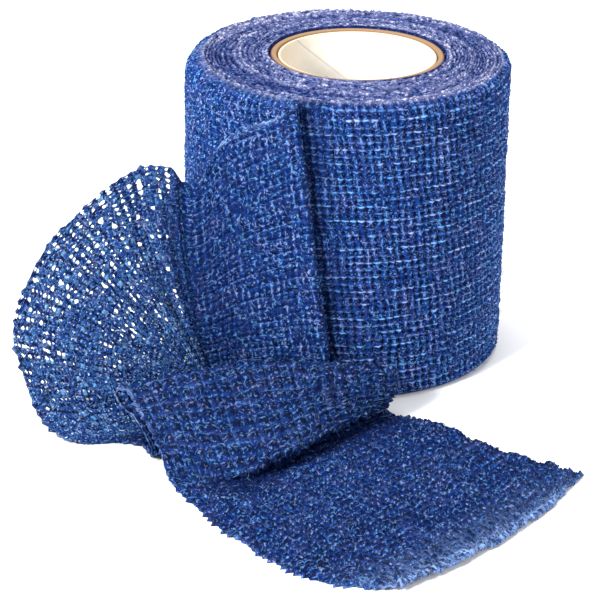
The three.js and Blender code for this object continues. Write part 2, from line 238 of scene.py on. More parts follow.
# How each part's cloth looks: how fine its flecks are for each metre, its tone (painted shade, the loose parts
# darker than the roll), its light threads and flecks (with painted highlights), its dark pits (painted shade) and
# their spacing in cells, how far its rows stand out in painted light and shade, its violet tint, whether it has
# thin film (painted light shining through), how pale its edges are, and whether its threads turn to crumb on the
# last stretch before the fold
LOOK_KEYS = ("fineness", "tone", "threads", "flecks", "pits", "spacing", "rows", "violet", "film", "pale", "crumb")
CREPE_LOOKS = {
    "crepe_roll": (2700, 0.98, 1.0, 0.8, 0.85, 1, 0.15, 0.12, False, 0.6, True),
    "crepe_flap": (1900, 0.83, 0.4, 0.95, 0.5, 1, 0.25, 0.08, False, 0.6, False),
    "crepe_lobe": (2500, 0.78, 0.3, 0.85, 0.6, 1, 0.2, 0.05, True, 0, False),
    "crepe_pleat": (1900, 0.62, 0.3, 0.85, 0.8, 2, 0.2, 0.15, False, 0.5, False),
    "crepe_strip": (2000, 0.72, 0.3, 0.9, 0.72, 1, 0.5, 0.18, False, 0.66, False),
}

# Camera of the stage, in millimetres
CAMERA_AIM = (-7.66, -20.0, 15.02)
CAMERA_DISTANCE = 450.0
CAMERA_ELEVATION = math.radians(22.92)
CAMERA_ROLL = math.radians(1.06)
CAMERA_LENS = 166.2
CAMERA_SENSOR = 36

# Near limit of the camera, floor and lamps, in metres
CAMERA_NEAR = 0.01
FLOOR_HALF = 1.5
SKY_STRENGTH = 0.46
LAMPS = (
    {"name": "key", "place": (-0.48, -0.50, 0.44), "width": 0.2, "energy": 11.0},
    {"name": "top", "place": (0.0, 0.15, 0.75), "width": 0.45, "energy": 4.5},
    {"name": "side", "place": (0.62, -0.25, 0.3), "width": 0.3, "energy": 2.6},
)


def length(name, description, default):
    """A length that a user may change, from its default in millimetres."""
    return FloatProperty(
        name=name, description=description, default=default * MM, min=0, subtype="DISTANCE", unit="LENGTH"
    )


def dye(name, description, default):
    """A colour that a user may change."""
    return FloatVectorProperty(
        name=name, description=description, default=default, size=3, min=0, max=1, subtype="COLOR"
    )


class RollSizes(bpy.types.PropertyGroup):
    tape_width: length("Tape width", "Width of the tape as cut", 50)
    gauge: length("Gauge", "Thickness of the crepe cloth", 0.34)
    rib_pitch: length("Rib pitch", "Distance between crosswise puckers", 1.34)
    thread_count: IntProperty(
        name="Threads", description="Lengthwise elastic threads in the tape's width", default=42, min=4
    )
    crepe_depth: length("Crepe depth", "Height of the puckers", 0.7)
    turn_pitch: length("Turn pitch", "Distance between visible turns on the top", 0.62)
    roll_fibres: FloatProperty(
        name="Roll fibres", description="Loose fibres on each square metre of the roll", default=260000, min=0
    )
    tape_fibres: FloatProperty(
        name="Tape fibres", description="Loose fibres on each square metre of loose tape", default=300000, min=0
    )


class RollColours(bpy.types.PropertyGroup):
    # Deep blue is also the colour of painted shade in the crepe's pits and hollows and in the shade attribute's
    # shadows
    deep: dye("Deep blue", "Hollows of the crepe", (0.0008, 0.005, 0.042))
    body: dye("Royal blue", "Body of the cloth", (0.005, 0.038, 0.215))
    # The light filaments' colour also stands in for painted highlights on the crests and in the flecks
    filament: dye("Filament", "Shiny light filaments", (0.155, 0.40, 0.80))
    violet: dye("Violet", "Violet tint in the blue", (0.085, 0.10, 0.28))
    turn_edge: dye("Turn edge", "Edges of the turns on the top", (0.112, 0.128, 0.258))
    sheer: dye("Sheer blue", "Drawn out cloth with light behind it", (0.018, 0.085, 0.32))
    # The thin film's light blue is painted light shining through the thinnest cells
    film: dye("Thin film", "Thinnest cells of the drawn out cloth", (0.10, 0.28, 0.56))
    pale: dye("Pale edge", "Light selvages and the cut end", (0.26, 0.40, 0.72))
    card: dye("Card", "Cardboard of the core", (0.30, 0.20, 0.105))
    paper: dye("Paper", "Lining of the core", (0.80, 0.77, 0.71))
    # Cream is the paper's yellowed rim, and also painted warm bounce light on one side of the lining
    cream_and_bounce_light: dye("Cream", "Yellowed paper", (0.74, 0.62, 0.46))
    floor: dye("Floor", "Pale floor", (0.97, 0.97, 0.97))


def sizes():
    return bpy.context.scene.bandage_sizes


def colours():
    return bpy.context.scene.bandage_colours


def soft_noise(u, v, seed):
    """Smooth seeded noise from -1 to 1, one lump for each whole step of u and v."""
    table = np.random.default_rng(seed).random((128, 128)) * 2 - 1
    iu, iv = np.floor(u).astype(int), np.floor(v).astype(int)
    fu, fv = u - iu, v - iv
    fu, fv = fu * fu * (3 - 2 * fu), fv * fv * (3 - 2 * fv)
    a = table[iu % 128, iv % 128] * (1 - fu) + table[(iu + 1) % 128, iv % 128] * fu
    b = table[iu % 128, (iv + 1) % 128] * (1 - fu) + table[(iu + 1) % 128, (iv + 1) % 128] * fu
    return a * (1 - fv) + b * fv


def cell_noise(u, v, seed):
    """One random value from 0 to 1 for each whole cell."""
    table = np.random.default_rng(seed).random((256, 256))
    return table[np.floor(u).astype(int) % 256, np.floor(v).astype(int) % 256]


def smooth_step(low, high, value):
    t = np.clip((value - low) / (high - low), 0, 1)
    return t * t * (3 - 2 * t)


def zone(reach, value):
    """1 between the middle two values of reach, easing to 0 at its first and last."""
    start, full, fade, end = reach
    return smooth_step(start, full, value) * smooth_step(end, fade, value)


def drift(u, v, seed):
    """Cell coordinates that wander as hand-pulled cloth does."""
    u2 = u + 0.24 * soft_noise(u * 0.45, v * 0.6, seed) + 0.18 * soft_noise(u * 0.9, v * 0.35, seed + 1)
    v2 = v + 0.13 * soft_noise(u * 0.5, v * 0.5, seed + 2)
    return u2, v2


def pucker(u, v, seed):
    """Height from about -0.5 to 0.5 of puckered cloth.
    Ribs crest at each whole u, and threads at each whole v."""
    lump = 0.75 + 0.4 * soft_noise(u + 0.5, v + 0.5, seed + 3)
    rib = (0.5 + 0.5 * np.cos(2 * np.pi * u)) ** 1.2 * lump
    thread = (0.5 + 0.5 * np.cos(2 * np.pi * v)) ** 1.4 * (0.8 + 0.3 * soft_noise(u * 0.7, v, seed + 5))
    fine = soft_noise(u * 3.1, v * 3.3, seed + 4)
    return 1 - (1 - 0.85 * np.clip(rib, 0, 1)) * (1 - 0.75 * np.clip(thread, 0, 1)) + 0.15 * fine - 0.5


def fold_x(z):
    """How far across the roll's front the fold lies at a height."""
    share = (z - FOLD_BOTTOM["z"]) / (FOLD_TOP["z"] - FOLD_BOTTOM["z"])
    return FOLD_BOTTOM["x"] + share * (FOLD_TOP["x"] - FOLD_BOTTOM["x"])


def fold_rib(degrees):
    """Inner end, middle and outer end of a rib that lies so far round the fold."""
    turn = math.radians(degrees)
    setback = FOLD_RADIUS + FOLD_HALF - FOLD_RADIUS * math.cos(turn)
    radius = UNDER_RADIUS + FOLD_RADIUS + FOLD_RADIUS * math.sin(turn)
    low, high = FOLD_BOTTOM["z"], FOLD_TOP["z"]
    rib = []
    for z in (low, (low + high) / 2, high):
        x = fold_x(z) - setback
        rib.append((x, -math.sqrt(radius * radius - x * x), z))
    return rib


def even_bend(inner, middle, outer, share):
    """The point at a share of the even bend through a rib's ends and middle."""
    sides = inner * (1 - share) * (1 - 2 * share) + middle * 4 * share * (1 - share)
    return sides + outer * share * (2 * share - 1)


def five_knots(rib):
    """A rib's knots, with its quarter points on an even bend where it has none."""
    knots = [np.array(point) for point in rib]
    if len(knots) == 3:
        knots.insert(1, even_bend(*knots, 0.25))
        knots.insert(3, even_bend(knots[0], knots[2], knots[3], 0.75))
    return knots


def with_ends(knots):
    """The knots along axis 0 with one more beyond each end."""
    return np.concatenate([2 * knots[:1] - knots[1:2], knots, 2 * knots[-1:] - knots[-2:-1]])


def across(ribs, share):
    """Points of every rib at each share of the tape's width, on a smooth line through its knots."""
    knots = with_ends(np.swapaxes(ribs, 0, 1))
    at = share * (len(knots) - 3)
    i = np.minimum(at.astype(int), len(knots) - 4)
    t = (at - i)[:, None, None]
    p0, p1, p2, p3 = (knots[i + k] for k in range(4))
    curve = 2 * p1 + (p2 - p0) * t + (2 * p0 - 5 * p1 + 4 * p2 - p3) * t**2
    return 0.5 * (curve + (3 * p1 - p0 - 3 * p2 + p3) * t**3)


def along(lines, at):
    """Points at each rib number of the smooth lines that run along the tape, evenly paced."""
    knots = with_ends(np.swapaxes(lines, 0, 1))
    i = np.minimum(at.astype(int), len(knots) - 4)
    t = (at - i)[:, None, None]
    p = [knots[i + k] for k in range(4)]
    gaps = (np.linalg.norm(p[k + 1] - p[k], axis=-1, keepdims=True) for k in range(3))
    d0, d1, d2 = (np.maximum(gap**0.5, 1e-4) for gap in gaps)
    t1 = ((p[1] - p[0]) / d0 - (p[2] - p[0]) / (d0 + d1) + (p[2] - p[1]) / d1) * d1
    t2 = ((p[2] - p[1]) / d1 - (p[3] - p[1]) / (d1 + d2) + (p[3] - p[2]) / d2) * d1
    curve = p[1] + t1 * t + (-3 * p[1] + 3 * p[2] - 2 * t1 - t2) * t**2
    return curve + (2 * p[1] - 2 * p[2] + t1 + t2) * t**3


def grid_normals(grid):
    normal = np.cross(np.gradient(grid, axis=0), np.gradient(grid, axis=1))
    return normal / np.maximum(np.linalg.norm(normal, axis=-1, keepdims=True), 1e-9)


class TapeSurface:
    """The tape's middle surface: a point for each place along it, in ribs, and share of its width."""

    def __init__(self):
        self.ribs = np.array([five_knots(rib) for rib in (*map(fold_rib, FOLD_TURNS), *RIBS)])
        self.ripple = np.zeros(len(self.ribs))
        for rib, depth in RIPPLED.items():
            self.ripple[len(FOLD_TURNS) + rib] = depth
        rippled = np.flatnonzero(self.ripple)
        self.first, self.last = rippled[0], rippled[-1] + 0.5

    def points(self, at, share):
        grid = along(across(self.ribs, share), at)
        depth = np.interp(at, np.arange(len(self.ripple)), self.ripple)
        wave = np.sin(RIPPLE_COUNT * 2 * np.pi * (at - self.first) / (self.last - self.first))
        lift = RIPPLE_DEPTH * (depth * wave)[:, None] * np.sin(np.pi * share)[None, :]
        return grid + grid_normals(grid) * lift[..., None]

    def rib_places(self, pitch):
        """Rib numbers in small steps, the pucker that lies at each, and the count of puckers.
        The puckers lie a pitch apart, measured along the tape's outer part."""
        fine = np.linspace(0, len(self.ribs) - 1, PACES)
        lines = self.points(fine, np.array(PACED_SHARES))
        steps = np.linalg.norm(np.diff(lines, axis=0), axis=-1).mean(axis=1)
        length = np.concatenate([[0], np.cumsum(steps)])
        count = round(length[-1] / pitch)
        return fine, length / length[-1] * count, count


def linked(name, data):
    """A new object that shows its data, in the scene."""
    made = bpy.data.objects.new(name, data)
    bpy.context.scene.collection.objects.link(made)
    return made


def mesh_piece(name, points, faces, uv, values, material):
    """A piece from points round the roll's axis, with its weave cells as UV map and its shader values."""
    mesh = bpy.data.meshes.new(name)
    place = (np.asarray(points) + np.array([*ROLL_AXIS, 0])) * MM
    mesh.from_pydata(place.tolist(), [], faces)
    corners = np.zeros(len(mesh.loops), np.int32)
    mesh.loops.foreach_get("vertex_index", corners)
    layer = mesh.uv_layers.new(name="tape")
    layer.data.foreach_set("uv", np.asarray(uv, np.float32)[corners].ravel())
    for key, value in values.items():
        attribute = mesh.attributes.new(key, "FLOAT", "POINT")
        attribute.data.foreach_set("value", np.asarray(value, np.float32).ravel())
    mesh.shade_smooth()
    mesh.materials.append(material)
    mesh.update()
    return linked(name, mesh)


def sheet_faces(kept):
    """Faces of a closed sheet from the kept quads of a grid: skin, back skin and walls round edges and holes."""
    rows, columns = kept.shape[0] + 1, kept.shape[1] + 1
    index = np.arange(rows * columns).reshape(rows, columns)
    layer = rows * columns
    a, b, c, d = index[:-1, :-1], index[1:, :-1], index[1:, 1:], index[:-1, 1:]
    skin = np.stack([a, b, c, d], -1)[kept]
    faces = [skin, skin[:, ::-1] + layer]
    padded = np.pad(kept, 1)
    here = padded[1:-1, 1:-1]
    for other, start, end in (
        (padded[:-2, 1:-1], d, a),
        (padded[2:, 1:-1], b, c),
        (padded[1:-1, :-2], a, b),
        (padded[1:-1, 2:], c, d),
    ):
        edge = here & ~other
        faces.append(np.stack([end[edge], start[edge], start[edge] + layer, end[edge] + layer], -1))
    return np.concatenate(faces)


def used_only(points, faces, *others):
    """Points that a face uses, and the faces renumbered to them."""
    used, faces = np.unique(faces, return_inverse=True)
    return (points[used], faces.reshape(-1, 4), *(other[used] for other in others))


class Nodes:
    """Short calls for building one material's nodes."""

    def __init__(self, name):
        self.material = bpy.data.materials.new(name)
        self.material.use_nodes = True
        self.tree = self.material.node_tree
        self.shader = self.tree.nodes["Principled BSDF"]

    def put(self, socket, value):
        if isinstance(value, bpy.types.NodeSocket):
            self.tree.links.new(value, socket)
        elif isinstance(value, (tuple, Color)):
            socket.default_value = (*value, 1.0)
        else:
            socket.default_value = value

    def add(self, kind, entries, **settings):
        """A node with its settings, and with its inputs filled by name or number."""
        node = self.tree.nodes.new("ShaderNode" + kind)
        for key, value in settings.items():
            setattr(node, key, value)
        for key, value in entries.items():
            self.put(node.inputs[key], value)
        return node

    def math(self, operation, *values):
        return self.add("Math", dict(enumerate(values)), operation=operation).outputs[0]

    def times(self, first, *others):
        for other in others:
            first = self.math("MULTIPLY", first, other)
        return first

    def span(self, value, low, high, to_low=0.0, to_high=1.0):
        """Eases from to_low to to_high while value goes from low to high."""
        entries = {"Value": value, "From Min": low, "From Max": high, "To Min": to_low, "To Max": to_high}
        return self.add("MapRange", entries, interpolation_type="SMOOTHSTEP").outputs["Result"]

    def mix(self, factor, a, b, blend="MIX"):
        entries = {"Factor": factor, 6: a, 7: b}
        return self.add("Mix", entries, data_type="RGBA", blend_type=blend).outputs[2]

    def noise(self, vector, scale, detail=2.0, roughness=0.5):
        entries = {"Vector": vector, "Scale": scale, "Detail": detail, "Roughness": roughness}
        return self.add("TexNoise", entries).outputs["Fac"]

    def random(self, vector):
        return self.add("TexWhiteNoise", {"Vector": vector}, noise_dimensions="3D").outputs["Value"]

    def vector(self, x, y, z=0.0):
        return self.add("CombineXYZ", {0: x, 1: y, 2: z}).outputs[0]

    def place(self):
        return self.add("TexCoord", {}).outputs["Object"]

    def cells(self):
        """The piece's weave cells as a vector, and its two numbers."""
        uv = self.add("UVMap", {}, uv_map="tape").outputs["UV"]
        split = self.add("SeparateXYZ", {0: uv})
        return uv, split.outputs["X"], split.outputs["Y"]

    def whole(self, *values):
        return [self.math("FLOOR", value) for value in values]

    def value(self, name):
        return self.add("Attribute", {}, attribute_name=name).outputs["Fac"]

    def finish(self, colour, roughness, height=None, strength=0.5, distance=0.1 * MM):
        self.put(self.shader.inputs["Base Color"], colour)
        self.put(self.shader.inputs["Roughness"], roughness)
        if height is not None:
            bump = self.add("Bump", {"Strength": strength, "Distance": distance, "Height": height})
            self.put(self.shader.inputs["Normal"], bump.outputs["Normal"])
        return self.material


def crepe_nodes(n, name):
    """Colour and height of puckered blue cloth with light filaments along its threads, with painted light and
    shade on its relief and painted highlights in its flecks.
    """
    look, part = colours(), dict(zip(LOOK_KEYS, CREPE_LOOKS[name]))
    uv, u, v = n.cells()
    place = n.place()
    fuzz = n.noise(place, 1700, 4, 0.68)
    body = n.mix(n.span(fuzz, 0.35, 0.66), look.deep, look.body)
    body = n.mix(n.times(n.span(n.noise(uv, 0.3, 3), 0.45, 0.7), part["violet"]), body, look.violet)

    # dark pits between the ribs and threads, some deeper than others, and dark low hollows: painted shade in the
    # crepe's recesses
    swayed = n.math("ADD", u, n.math("MULTIPLY_ADD", n.noise(uv, 2.3, 2), 0.5, -0.25))
    rib = n.math("PINGPONG", swayed, 0.5)
    thread = n.math("PINGPONG", v, 0.5)
    wide_u, wide_v = (n.times(value, 1 / part["spacing"]) for value in (swayed, v))
    gap = n.random(n.vector(*n.whole(wide_u, wide_v)))
    crosswise = n.span(n.math("PINGPONG", wide_u, 0.5), 0.2, 0.38)
    lengthwise = n.span(n.math("PINGPONG", wide_v, 0.5), 0.1, 0.3)
    pit_shade = n.times(crosswise, lengthwise, n.span(gap, 0.05, 0.8, 0.3, 1.0))
    hollow_shade = n.math("MAXIMUM", pit_shade, n.span(n.value("rise"), 0.42, 0.1))
    body = n.mix(n.times(hollow_shade, part["pits"]), body, look.deep)

    # drawn out cloth: dark yarns round cells of thin film, whose lighter blues and glints are painted light
    # shining through
    if part["film"]:
        thin = n.mix(n.times(n.span(gap, 0.2, 0.7), n.span(fuzz, 0.35, 0.6, 0.3, 1.0)), look.body, look.sheer)
        thin = n.mix(n.span(n.random(n.vector(*n.whole(swayed, v), 7.0)), 0.85, 0.99), thin, look.film)
        thin = n.mix(n.span(n.noise(place, 2400, 2, 0.6), 0.58, 0.655), thin, FILM_GLINT)
        cell = n.times(n.span(rib, 0.13, 0.25), n.span(thread, 0.04, 0.2, 0.4, 1.0))
        mesh = n.mix(cell, n.mix(n.span(fuzz, 0.5, 0.85), look.deep, look.body), thin)
        body = n.mix(n.value("sheer"), body, mesh)

    # light dashes where a thread crosses a rib, broken weft filaments and flecks: light threads and filaments,
    # with painted highlights where they top a crest, and flecks that are painted highlights
    wander = n.math("MULTIPLY_ADD", n.noise(uv, 1.7, 2), 0.34, -0.17)
    line = n.span(n.math("PINGPONG", n.math("ADD", v, wander), 0.5), 0.02, 0.17, 1.0, 0.0)
    crest = n.span(rib, 0.2, 0.48, 1.0, 0.1)
    crossing = n.random(n.vector(*n.whole(n.math("ADD", u, 0.5), n.math("ADD", v, 0.5))))
    even = n.span(n.math("PINGPONG", v, 1.0), 0.3, 0.7, 1.0, 0.5)
    dash = n.times(line, crest, n.span(crossing, 0.1, 0.9), even, part["threads"])
    weft = n.times(n.span(rib, 0.03, 0.14, 1.0, 0.0), n.span(n.noise(place, 900, 2), 0.5, 0.66), 0.5)
    fleck_highlight = n.times(n.span(n.noise(place, part["fineness"], 2, 0.6), 0.57, 0.66), part["flecks"], 0.7)
    if part["crumb"]:
        crumb = n.value("crumb")
        dash = n.times(dash, n.span(crumb, 0, 1, 1.0, 0.25))
        fleck_highlight = n.times(fleck_highlight, n.span(crumb, 0, 1, 1.0, 1.5))
    light = n.math("MAXIMUM", dash, n.math("MAXIMUM", weft, fleck_highlight))
    tint = n.mix(n.span(n.noise(place, 420, 2), 0.42, 0.64), look.filament, LILAC_FILAMENT)

    # painted light and shade: rows that stand out, lighter on the crests and darker in low hollows, the part's
    # tone as painted shade and the shade attribute's painted shadows; then pale edges broken into strands
    rows = part["rows"]
    relief_light_and_shade = n.times(n.span(rib, 0.08, 0.42, 1 + 0.45 * rows, 1 - 0.5 * rows), part["tone"])
    relief_light_and_shade = n.times(relief_light_and_shade, n.span(n.value("rise"), 0.2, 0.85, 1 - 0.5 * rows, 1 + 0.4 * rows))
    colour = n.mix(1.0, n.mix(n.times(light, 0.95), body, tint), n.vector(relief_light_and_shade, relief_light_and_shade, relief_light_and_shade), "MULTIPLY")
    colour = n.mix(n.times(n.value("shade"), 0.85), colour, look.deep)
    if part["pale"]:
        strands = n.noise(n.vector(n.times(u, 0.7), n.times(v, 4.0)), 1.0, 2)
        pale = n.times(n.value("pale"), part["pale"], n.span(strands, 0.42, 0.6, 0.1, 1.25))
        colour = n.mix(pale, colour, look.pale)
    return colour, n.math("ADD", n.times(fuzz, 1.3), n.times(light, 0.6))


def crepe_finish(n, colour, height):
    n.shader.inputs["Specular IOR Level"].default_value = 0.06
    return n.finish(colour, 0.7, height, 0.7, 0.22 * MM)


def crepe_material(name):
    n = Nodes(name)
    return crepe_finish(n, *crepe_nodes(n, name))


def roll_material():
    """Crepe on the side, and the turns' edges on the top."""
    look = colours()
    n = Nodes("crepe_roll")
    side, height = crepe_nodes(n, "crepe_roll")
    rise = n.value("rise")
    grain = n.math("ADD", n.noise(n.place(), 1500, 4, 0.75), n.math("MULTIPLY_ADD", rise, 0.3, -0.15))
    edge = n.mix(n.span(rise, 0.1, 0.75, 0.25, 1.0), look.body, look.turn_edge)
    edge = n.mix(n.times(n.span(grain, 0.56, 0.65), 0.8), edge, TURN_GLINT)
    edge = n.mix(n.times(n.span(grain, 0.49, 0.38), 0.92), edge, look.deep)
    return crepe_finish(n, n.mix(n.value("top"), side, edge), height)


def fibre_material():
    look = colours()
    n = Nodes("loose_fibre")
    tone = n.span(n.noise(n.place(), 700, 2), 0.35, 0.65)
    return n.finish(n.mix(tone, look.body, n.mix(0.6, look.body, look.filament)), 0.6)


def card_material():
    """Brown board, darker where its cut plies show."""
    look = colours()
    n = Nodes("cardboard")
    grain = n.noise(n.place(), 1200, 3, 0.6)
    colour = n.mix(n.span(grain, 0.3, 0.75), n.mix(0.35, look.card, RED_CARD), look.card)
    colour = n.mix(n.times(n.value("rise"), 0.75), colour, CARD_PLY)
    return n.finish(colour, 0.85, grain, 0.5, 0.1 * MM)


def paper_material():
    """White paper with a slanting seam, yellowed at its rim, and with painted warm bounce light on one side."""
    look = colours()
    n = Nodes("white_paper")
    _, u, v = n.cells()
    turned = n.math("FRACT", n.math("SUBTRACT", u, n.times(v, 0.9)))
    seam = n.span(n.math("ABSOLUTE", n.math("SUBTRACT", turned, 0.647)), 0.0015, 0.004, 1.0, 0.0)
    colour = n.mix(n.span(n.noise(n.place(), 500, 2), 0.3, 0.7), look.paper, BRIGHT_PAPER)
    # painted warm bounce light on one side of the lining
    cream_and_bounce_light = n.span(n.math("ABSOLUTE", n.math("SUBTRACT", u, 0.49)), 0.2, 0.02)
    colour = n.mix(cream_and_bounce_light, colour, look.cream_and_bounce_light)
    colour = n.mix(n.value("rise"), colour, look.cream_and_bounce_light)
    colour = n.mix(n.times(seam, n.span(v, 0.6, 0.8, 0.1, 0.3)), colour, SEAM_GREY)
    return n.finish(colour, 0.45)


def top_rim(angle):
    """Radius of the rounded top rim, which slouches on one side."""
    return RIM + SLOUCH * (0.5 + 0.5 * np.cos(angle - SLOUCH_SIDE)) ** 3


def roll_rings(thread):
    """The roll's rings from the bore over the foot, side and top: kind, height, inset, weave row and climb."""
    rings = [("bore", 0, 0, 0, 0), ("foot", 0, FOOT_INSET, -2, 0)]
    for degrees in FOOT_TURNS:
        turn = math.radians(degrees)
        height, inset = RIM * (1 - math.cos(turn)), RIM * (1 - math.sin(turn))
        rings.append(("foot", height, inset, RIM * (math.sin(turn) - 1) / thread, 0))
    for height in np.arange(RIM, SHOULDER_FOOT, thread / ROWS_PER_THREAD):
        rings.append(("wall", height, 0, height / thread, 0))
    for climb in np.linspace(0, 1, SHOULDER_RINGS + 1)[1:]:
        height = ROLL_HEIGHT - (RIM + SLOUCH) * (1 - climb)
        rings.append(("shoulder", height, 0, height / thread, climb))
    for inset in np.arange(RIM + 0.1, TOP_WIDTH, TOP_ROW):
        rings.append(("top", ROLL_HEIGHT, inset, ROLL_HEIGHT / thread + inset / thread, 0))
    return [*rings, ("bore", ROLL_HEIGHT, 0, 0, 0)]


def ring_angles(height, share):
    """Angles once round the roll, from the step behind the fold."""
    step_x = fold_x(min(height, ROLL_HEIGHT)) - STEP_SETBACK
    start = math.atan2(-math.sqrt(ROLL_RADIUS**2 - step_x**2), step_x)
    return start + share * 2 * math.pi


def shoulder_ring(climb, rim):
    """Height, inset and bend of a ring on the way up the wall and over the rounded rim."""
    way = climb * (ROLL_HEIGHT - SHOULDER_FOOT + rim * (math.pi / 2 - 1))
    straight = ROLL_HEIGHT - rim - SHOULDER_FOOT
    bend = np.clip((way - straight) / (rim * math.pi / 2), 0, 1) * math.pi / 2
    height = np.where(way < straight, SHOULDER_FOOT + way, ROLL_HEIGHT - rim * (1 - np.sin(bend)))
    return height, np.where(way < straight, 0, rim * (1 - np.cos(bend))), bend


def turn_edges(u, share, angle, inset, turn_pitch):
    """Relief and lightness of the turns' edges on the top."""
    depth = inset - WOUND_LAYER * share + 0.3 * np.sin(3 * angle + 1) * np.sin(inset * 0.9)
    ridge = 0.5 + 0.5 * np.cos(2 * math.pi * (depth / turn_pitch + share))
    grain = soft_noise(u * 1.5, inset / 0.36, 24)
    stray = soft_noise(depth / 1.1, 0.0, 26) + 0.5 * soft_noise(depth / 0.5, 0.0, 27) * np.sin(2 * angle)
    relief = 0.3 * ridge + 0.24 * grain + 0.21 * stray - 0.32
    relief = relief * smooth_step(12.0, 11.4, inset) * smooth_step(0.3, 1.4, inset)
    return relief, 0.5 + 0.36 * (ridge - 0.5) + 0.28 * stray + 0.26 * grain


def core_circle(radius, angle):
    """Where a circle round the core's middle lies at each angle."""
    return CORE_OFFSET[0] + radius * np.cos(angle), CORE_OFFSET[1] + radius * np.sin(angle)


def wound_roll_grid(rib_pitch, thread_count, crepe_depth, turn_pitch):
    """Points of the roll's rings, their weave cells and their shader values."""
    ribs = round(2 * math.pi * (ROLL_RADIUS + WOUND_LAYER / 2) / rib_pitch)
    columns = ribs * COLUMNS_PER_RIB
    share = np.arange(columns + 1) / columns
    u = share * ribs
    blend = smooth_step(0, 0.02, share) * smooth_step(0, 0.02, 1 - share)
    points, cells, values = [], [], {"rise": [], "top": [], "crumb": [], "shade": [], "pale": []}
    for kind, height, inset, row, climb in roll_rings(ROLL_HEIGHT / thread_count):
        angle = ring_angles(height, share)
        rim = top_rim(angle)
        u2, v2 = drift(u, row, ROLL_SEED)
        puff = pucker(u2, v2, ROLL_SEED)
        level, upward, pale = np.full_like(u, height), np.zeros_like(u), np.zeros_like(u)
        top = np.full_like(u, kind in ("top", "bore"))
        relief, lump = 1.25 * crepe_depth * puff * blend, 0.5 + puff
        if kind == "foot":
            relief = np.zeros_like(u)
        elif kind == "shoulder":
            level, inset, bend = shoulder_ring(climb, rim)
            upward = np.sin(bend)
            pale = smooth_step(1.2, 1.5, bend) * smooth_step(0.78, 0.86, share) * 0.6
            top = smooth_step(1.05, 1.65, bend + 0.3 * soft_noise(u * 0.9, row, 29))
        elif kind == "top":
            core_radius = BORE_RADIUS + (TOP_WIDTH - inset)
            past_slouch = np.clip((inset - RIM) / SLOUCH_REACH, 0, 1)
            inset = inset - RIM + rim * (1 - past_slouch) + RIM * past_slouch
            upward = np.ones_like(u)
            relief, lump = turn_edges(u, share, angle, inset, turn_pitch)
        if kind == "bore":
            x, y = core_circle(BORE_RADIUS, angle)
            # no rise at the bore, so its edge on the top turns dark: painted shade in the gap beside the core
            lump = np.zeros_like(u)
        else:
            radius = ROLL_RADIUS + WOUND_LAYER * share - inset
            radius = radius + relief * np.sqrt(np.clip(1 - upward**2, 0, 1))
            level = np.clip(level + relief * upward, 0, ROLL_HEIGHT + TOP_PROUD)
            x, y = radius * np.cos(angle), radius * np.sin(angle)
        if kind == "top":
            # the inner turns follow the core, which sits a little off the roll's middle
            inward = smooth_step(1.0, 12.0, inset)
            core_x, core_y = core_circle(core_radius, angle)
            x, y = x * (1 - inward) + inward * core_x, y * (1 - inward) + inward * core_y
        points.append(np.stack([x, y, level], -1))
        cells.append(np.stack([u2, v2], -1))
        values["rise"].append(np.clip(lump, 0, 1))
        values["top"].append(top)
        values["crumb"].append(smooth_step(0.78, 0.88, share))
        # painted shadow on the roll just right of the fold, broken up by noise
        broken = np.clip(0.62 + 0.45 * soft_noise(u * 1.2, row * 0.9, 28), 0, 1)
        values["shade"].append(smooth_step(0.052, 0.012, share) * broken)
        values["pale"].append(pale)
    return np.array(points), np.array(cells), {key: np.array(rows) for key, rows in values.items()}


def roll_faces(points):
    """Closed faces of the roll's rings. A ring with no step where it meets itself is closed there."""
    count, row = points.shape[:2]
    index = np.arange(count * row).reshape(count, row)
    stepless = np.linalg.norm(points[:, -1] - points[:, 0], axis=-1) < 1e-6
    index[stepless, -1] = index[stepless, 0]
    after = np.roll(index, -1, axis=1)
    faces = []
    for i in range(count):
        j = (i + 1) % count
        for quad in zip(index[i], after[i], after[j], index[j]):
            corners = list(dict.fromkeys(map(int, quad)))
            if len(corners) > 2:
                faces.append(corners)
    return faces


class BANDAGE_OT_wound_roll(bpy.types.Operator):
    """Winds the roll, with crepe on its side and the turns' edges on its top"""

    bl_idname = "bandage.wound_roll"
    bl_label = "Wound roll"

    def execute(self, context):
        s = sizes()
        points, cells, values = wound_roll_grid(
            s.rib_pitch / MM, s.thread_count, s.crepe_depth / MM, s.turn_pitch / MM
        )
        faces = roll_faces(points)
        points, uv = points.reshape(-1, 3), cells.reshape(-1, 2)
        used = np.zeros(len(points), bool)
        used[np.concatenate([np.array(face) for face in faces])] = True
        number = np.cumsum(used) - 1
        faces = [[int(number[k]) for k in face] for face in faces]
        values = {key: value.ravel()[used] for key, value in values.items()}
        piece = mesh_piece("roll_turns", points[used], faces, uv[used], values, roll_material())
        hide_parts("wound_roll")
        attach(piece, "root")
        return {"FINISHED"}


def sleeve(name, profile, material):
    """A closed ring turned from a profile of (radius, height, shade) round the core's middle."""
    turn = np.linspace(0, 2 * np.pi, SLEEVE_SIDES, endpoint=False)
    radius, height, shade = (np.array(column) for column in zip(*profile))
    x, y = core_circle(radius, turn[:, None])
    z = np.broadcast_to(height, x.shape)
    points = np.stack([x, y, z], -1).reshape(-1, 3)
    count = len(profile)
    faces = []
    for i in range(SLEEVE_SIDES):
        for j in range(count):
            k, m = (i + 1) % SLEEVE_SIDES, (j + 1) % count
            faces.append([i * count + j, k * count + j, k * count + m, i * count + m])
    turned = np.broadcast_to((turn / (2 * np.pi))[:, None], x.shape)
    uv = np.stack([turned, np.broadcast_to(height / SLEEVE_MAP_HEIGHT, x.shape)], -1).reshape(-1, 2)
    piece = mesh_piece(name, points, faces, uv, {"rise": np.broadcast_to(shade, x.shape)}, material)
    piece.data.set_sharp_from_angle(angle=SLEEVE_CREASE)
    return piece


